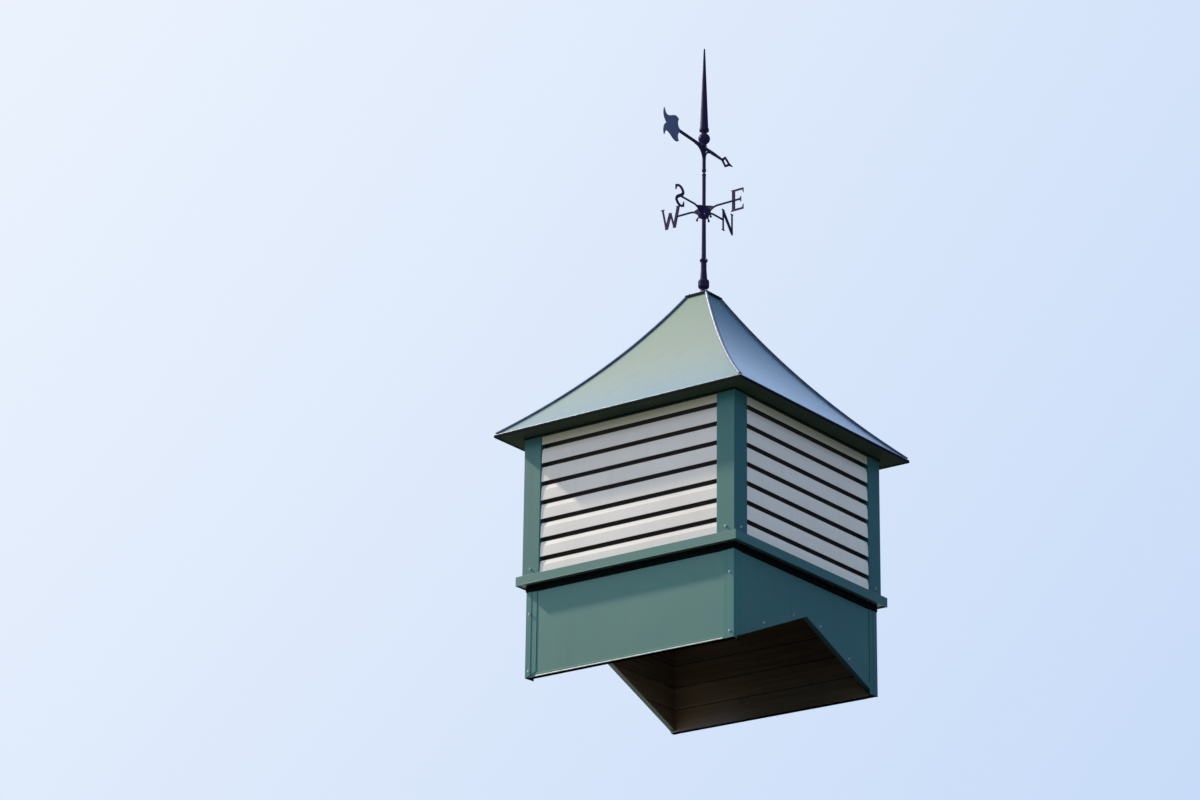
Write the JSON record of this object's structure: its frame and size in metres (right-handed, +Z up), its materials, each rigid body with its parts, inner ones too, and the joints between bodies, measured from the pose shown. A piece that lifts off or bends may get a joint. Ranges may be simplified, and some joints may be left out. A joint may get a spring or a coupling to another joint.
{
  "type": "barn cupola with weathervane",
  "caption": "Square louvred roof cupola with a hollow-curved hip roof, a base notched for a ridge, and a turning arrow weathervane above a compass.",
  "frame": {"origin": "on the vane's axis, at the level of the base's lowest edges", "axes": "+Z up; +X along the ridge that the base stands over; the front faces -Y"},
  "size_m": [1.071, 1.071, 2.485],
  "materials": {
    "base_cladding": "semi-gloss dark green paint on sheet steel",
    "trim_cladding": "semi-gloss dark green paint on folded sheet",
    "roof_cladding": "smooth semi-gloss dark green paint on sheet steel",
    "soffit_sheet": "satin dark green paint on sheet",
    "louvre_slats": "satin white paint on formed slats",
    "vane_metal": "satin black paint on steel"
  },
  "bodies": {
    "cupola": {"base_front": "base_cladding", "base_right": "base_cladding", "base_back": "base_cladding", "base_left": "base_cladding", "sill_front": "trim_cladding", "sill_right": "trim_cladding", "sill_back": "trim_cladding", "sill_left": "trim_cladding", "louvre_front": "louvre_slats", "louvre_right": "louvre_slats", "louvre_back": "louvre_slats", "louvre_left": "louvre_slats", "header_front": "soffit_sheet", "header_right": "soffit_sheet", "header_back": "soffit_sheet", "header_left": "soffit_sheet", "soffit_front": "soffit_sheet", "soffit_right": "soffit_sheet", "soffit_back": "soffit_sheet", "soffit_left": "soffit_sheet", "roof_front": "roof_cladding", "roof_right": "roof_cladding", "roof_back": "roof_cladding", "roof_left": "roof_cladding", "base_corner_trims": "trim_cladding", "hip_seams": "roof_cladding", "post_front_right": "trim_cladding", "post_back_right": "trim_cladding", "post_back_left": "trim_cladding", "post_front_left": "trim_cladding", "roof_cap": "vane_metal", "vane_foot": "vane_metal", "vane_mast": "vane_metal", "compass_hub": "vane_metal", "compass_arm_e": "vane_metal", "compass_arm_n": "vane_metal", "compass_arm_w": "vane_metal", "compass_arm_s": "vane_metal"},
    "vane": {"arrow_sleeve": "vane_metal", "arrow_rod": "vane_metal", "arrow_head": "vane_metal", "arrow_tail": "vane_metal", "vane_ball": "vane_metal", "vane_spire": "vane_metal"}
  },
  "joints": [
    {"name": "vane_spin", "type": "hinge", "parent": "cupola", "child": "vane", "pos_m": [0, 0, 2], "axis": [0, 0, 1], "continuous": true}
  ]
}
